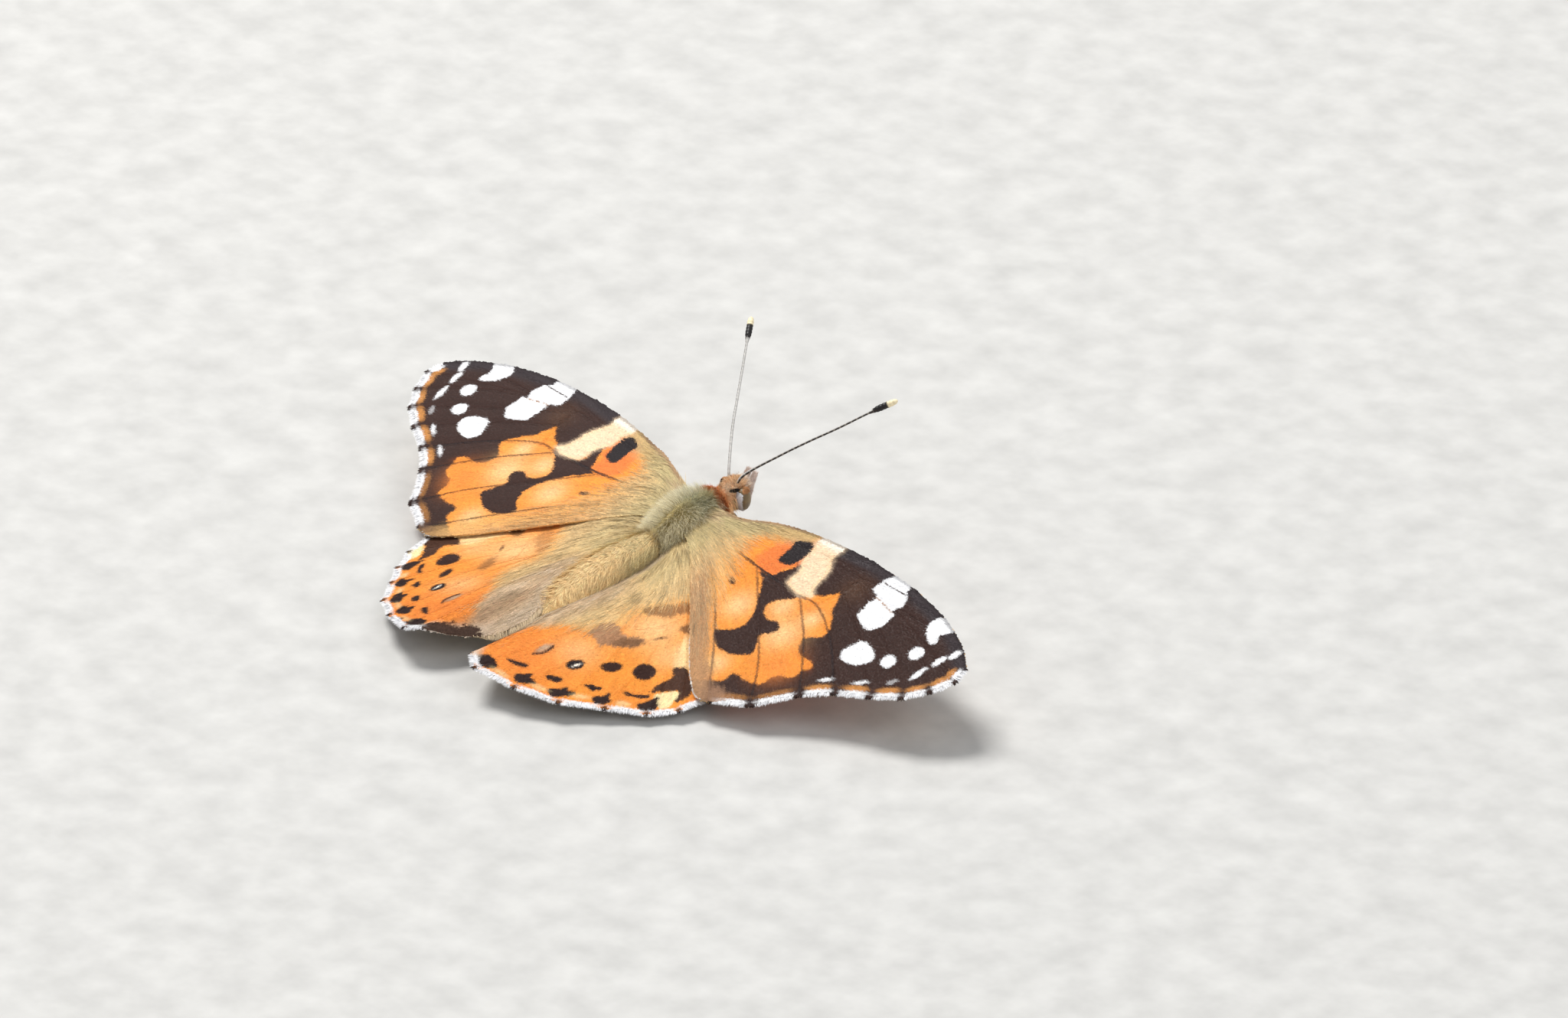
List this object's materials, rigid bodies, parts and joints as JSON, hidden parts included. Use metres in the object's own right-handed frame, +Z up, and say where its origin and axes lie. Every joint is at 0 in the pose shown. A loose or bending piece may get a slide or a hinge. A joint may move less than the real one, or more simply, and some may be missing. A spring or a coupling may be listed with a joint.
{
  "type": "painted lady butterfly",
  "caption": "Basking butterfly with broad spread wings, clubbed feelers and a slim furry body, standing low on its slender walking legs.",
  "frame": {"origin": "on the floor, under the middle of the outline's length and width", "axes": "+X to the butterfly's right wings, +Y to its head, +Z up"},
  "size_m": [0.0648, 0.0378, 0.0154],
  "materials": {
    "thorax": "dense olive fur",
    "head": "short rufous fur",
    "abdomen": "golden-brown fur",
    "forewing": "orange scales with dark brown and white marks",
    "hindwing": "orange scales with dark spots and tan hair",
    "eye": "olive-brown faceted eye",
    "antenna": "dark shaft with pale rings, dark club, cream tip",
    "palp": "pinkish-buff scales",
    "proboscis": "dark brown horn",
    "leg": "buff scales"
  },
  "bodies": {
    "root": {"thorax": "thorax", "head": "head", "abdomen": "abdomen", "forewing_right": "forewing", "forewing_left": "forewing", "hindwing_right": "hindwing", "hindwing_left": "hindwing", "eye_right": "eye", "eye_left": "eye", "antenna_right": "antenna", "antenna_left": "antenna", "palp_right": "palp", "palp_left": "palp", "proboscis": "proboscis", "foreleg_right": "leg", "foreleg_left": "leg", "midleg_right": "leg", "midleg_left": "leg", "hindleg_right": "leg", "hindleg_left": "leg"}
  },
  "joints": []
}
